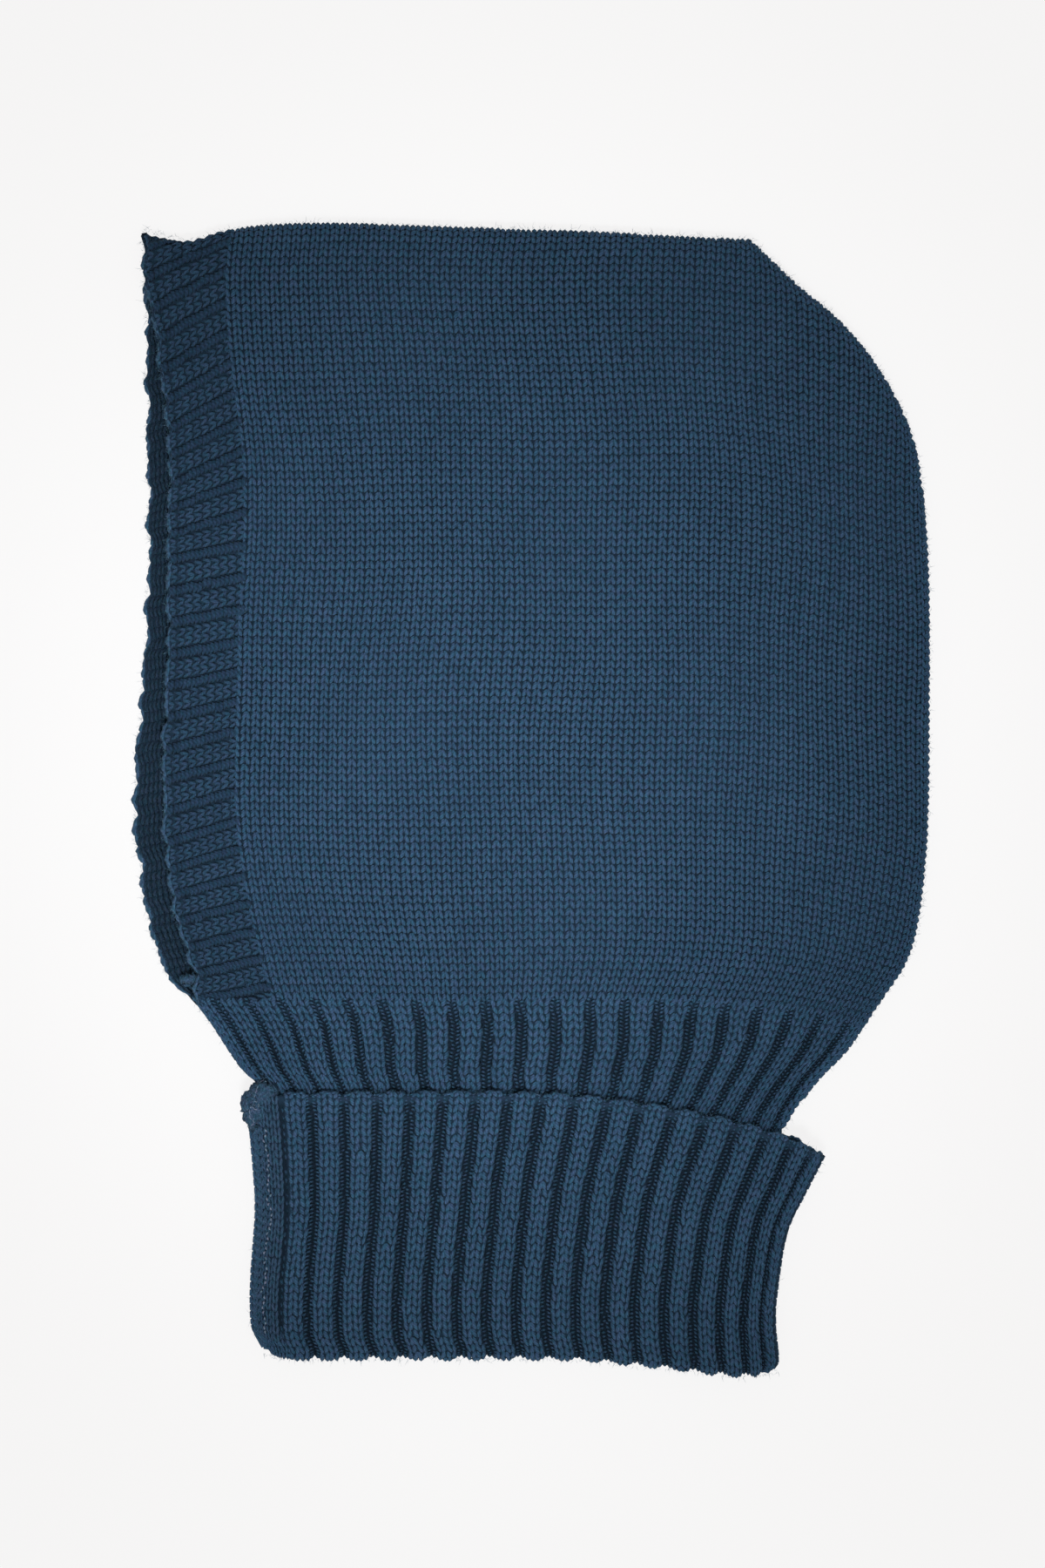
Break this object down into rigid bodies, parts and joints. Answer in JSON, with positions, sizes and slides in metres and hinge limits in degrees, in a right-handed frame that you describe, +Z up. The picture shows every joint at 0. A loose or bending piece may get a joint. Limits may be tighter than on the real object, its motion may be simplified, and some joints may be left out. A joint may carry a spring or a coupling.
{
  "type": "knit balaclava",
  "caption": "Knit hood lying flat on its side, with a ribbed band along its face opening and a ribbed neck whose end is turned up as a cuff.",
  "frame": {"origin": "on the surface that it lies on, under the middle of the whole object", "axes": "+Z up from that surface through both layers, +Y from the neck to the crown, +X from the face opening to the back of the head"},
  "size_m": [0.2654, 0.3842, 0.0191],
  "materials": {
    "hood_knit": "matte wool-like stockinette knit in dark teal blue",
    "band_knit": "matte two by one rib knit in dark teal blue",
    "neck_knit": "matte two by one rib knit in dark teal blue",
    "cuff_knit": "matte two by one rib knit in dark teal blue",
    "seam_knit": "matte knit edge with a paler seaming thread"
  },
  "bodies": {
    "root": {"hood_body": "hood_knit", "face_band": "band_knit", "neck_rib": "neck_knit", "turned_cuff": "cuff_knit", "cuff_seam": "seam_knit"}
  },
  "joints": []
}
